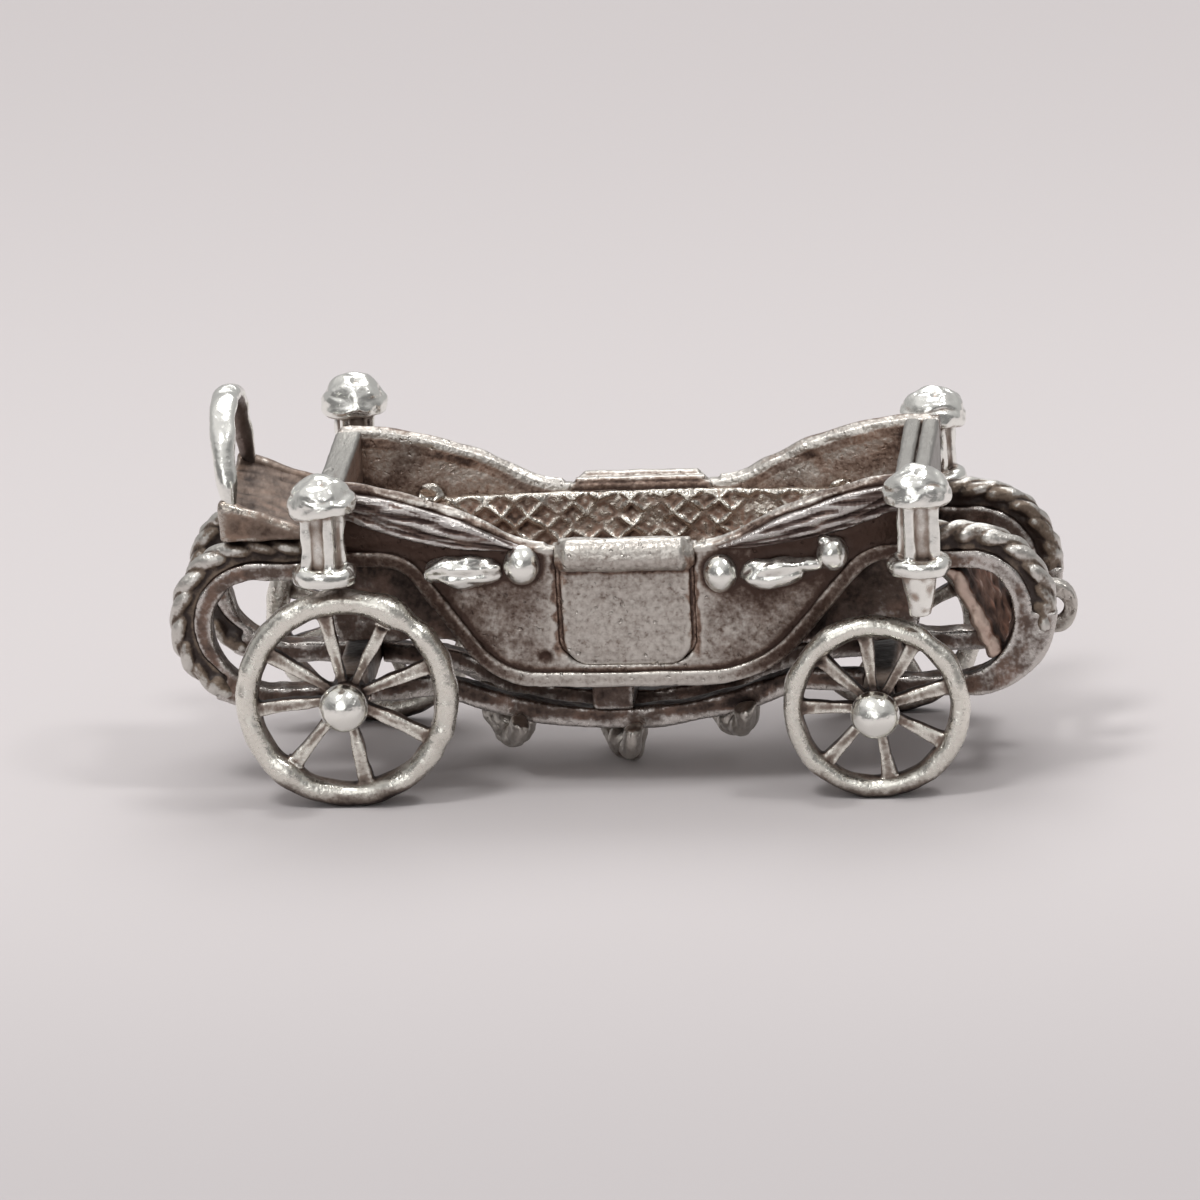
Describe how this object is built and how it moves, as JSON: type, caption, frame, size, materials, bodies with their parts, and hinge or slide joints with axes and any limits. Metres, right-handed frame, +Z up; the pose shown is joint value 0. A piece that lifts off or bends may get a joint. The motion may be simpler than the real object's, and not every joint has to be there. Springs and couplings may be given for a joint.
{
  "type": "miniature open horse-drawn carriage charm",
  "caption": "Miniature silver open landau with turning spoked wheels on wire axles, C-springs, lamps, hollow quilted cabin, rear hoop and towing eye.",
  "frame": {"origin": "on the ground plane under the middle of the whole length and width", "axes": "+X forward, towards the smaller wheels and the towing eye; +Z up; -Y is the side nearest the camera in the picture"},
  "size_m": [0.03, 0.0138, 0.0131],
  "materials": {
    "polished_silver": "polished cast silver, worn bright, dark in the recesses",
    "satin_silver": "satin cast silver with fine pits",
    "oxidised_silver": "oxidised cast silver, brown-black with bright edges",
    "dark_inside_silver": "tarnished silver with a coppery tone and light ridges"
  },
  "bodies": {
    "carriage": {"boot_front": "oxidised_silver", "boot_rear": "oxidised_silver", "door_far": "satin_silver", "door_near": "satin_silver", "floor": "dark_inside_silver", "footboard": "oxidised_silver", "footman_seat": "oxidised_silver", "front_axle": "oxidised_silver", "front_seat": "dark_inside_silver", "front_wall": "satin_silver", "hood_front_far": "satin_silver", "hood_front_near": "satin_silver", "hood_iron_front_far": "polished_silver", "hood_iron_front_near": "polished_silver", "hood_iron_rear_far": "polished_silver", "hood_iron_rear_near": "polished_silver", "hood_rear_far": "satin_silver", "hood_rear_near": "satin_silver", "lamp_front_far": "polished_silver", "lamp_front_near": "polished_silver", "lamp_rear_far": "polished_silver", "lamp_rear_near": "polished_silver", "lining_far": "dark_inside_silver", "lining_near": "dark_inside_silver", "moulding_far": "satin_silver", "moulding_near": "satin_silver", "perch_post": "oxidised_silver", "perch_rail_far": "oxidised_silver", "perch_rail_near": "oxidised_silver", "rear_axle": "oxidised_silver", "rear_hoop": "polished_silver", "rear_seat": "dark_inside_silver", "rear_wall": "satin_silver", "side_panel_far": "satin_silver", "side_panel_near": "satin_silver", "splinter_bar": "oxidised_silver", "spring_front_far": "oxidised_silver", "spring_front_near": "oxidised_silver", "spring_rear_far": "oxidised_silver", "spring_rear_near": "oxidised_silver", "step_loop_front": "oxidised_silver", "step_loop_middle": "oxidised_silver", "step_loop_rear": "oxidised_silver", "strand_front_far": "oxidised_silver", "strand_front_near": "oxidised_silver", "strand_rear_far": "oxidised_silver", "strand_rear_near": "oxidised_silver", "towing_eye": "polished_silver"},
    "wheel_front_far": {"wheel_front_far": "polished_silver"},
    "wheel_front_near": {"wheel_front_near": "polished_silver"},
    "wheel_rear_far": {"wheel_rear_far": "polished_silver"},
    "wheel_rear_near": {"wheel_rear_near": "polished_silver"}
  },
  "joints": [
    {"name": "wheel_front_far_spin", "type": "hinge", "parent": "carriage", "child": "wheel_front_far", "pos_m": [0.0085, 0.0049, 0.00308], "axis": [0, 1, 0], "continuous": true},
    {"name": "wheel_front_near_spin", "type": "hinge", "parent": "carriage", "child": "wheel_front_near", "pos_m": [0.0085, -0.0049, 0.00308], "axis": [0, 1, 0], "continuous": true},
    {"name": "wheel_rear_far_spin", "type": "hinge", "parent": "carriage", "child": "wheel_rear_far", "pos_m": [-0.009, 0.0049, 0.0037], "axis": [0, 1, 0], "continuous": true},
    {"name": "wheel_rear_near_spin", "type": "hinge", "parent": "carriage", "child": "wheel_rear_near", "pos_m": [-0.009, -0.0049, 0.0037], "axis": [0, 1, 0], "continuous": true}
  ]
}
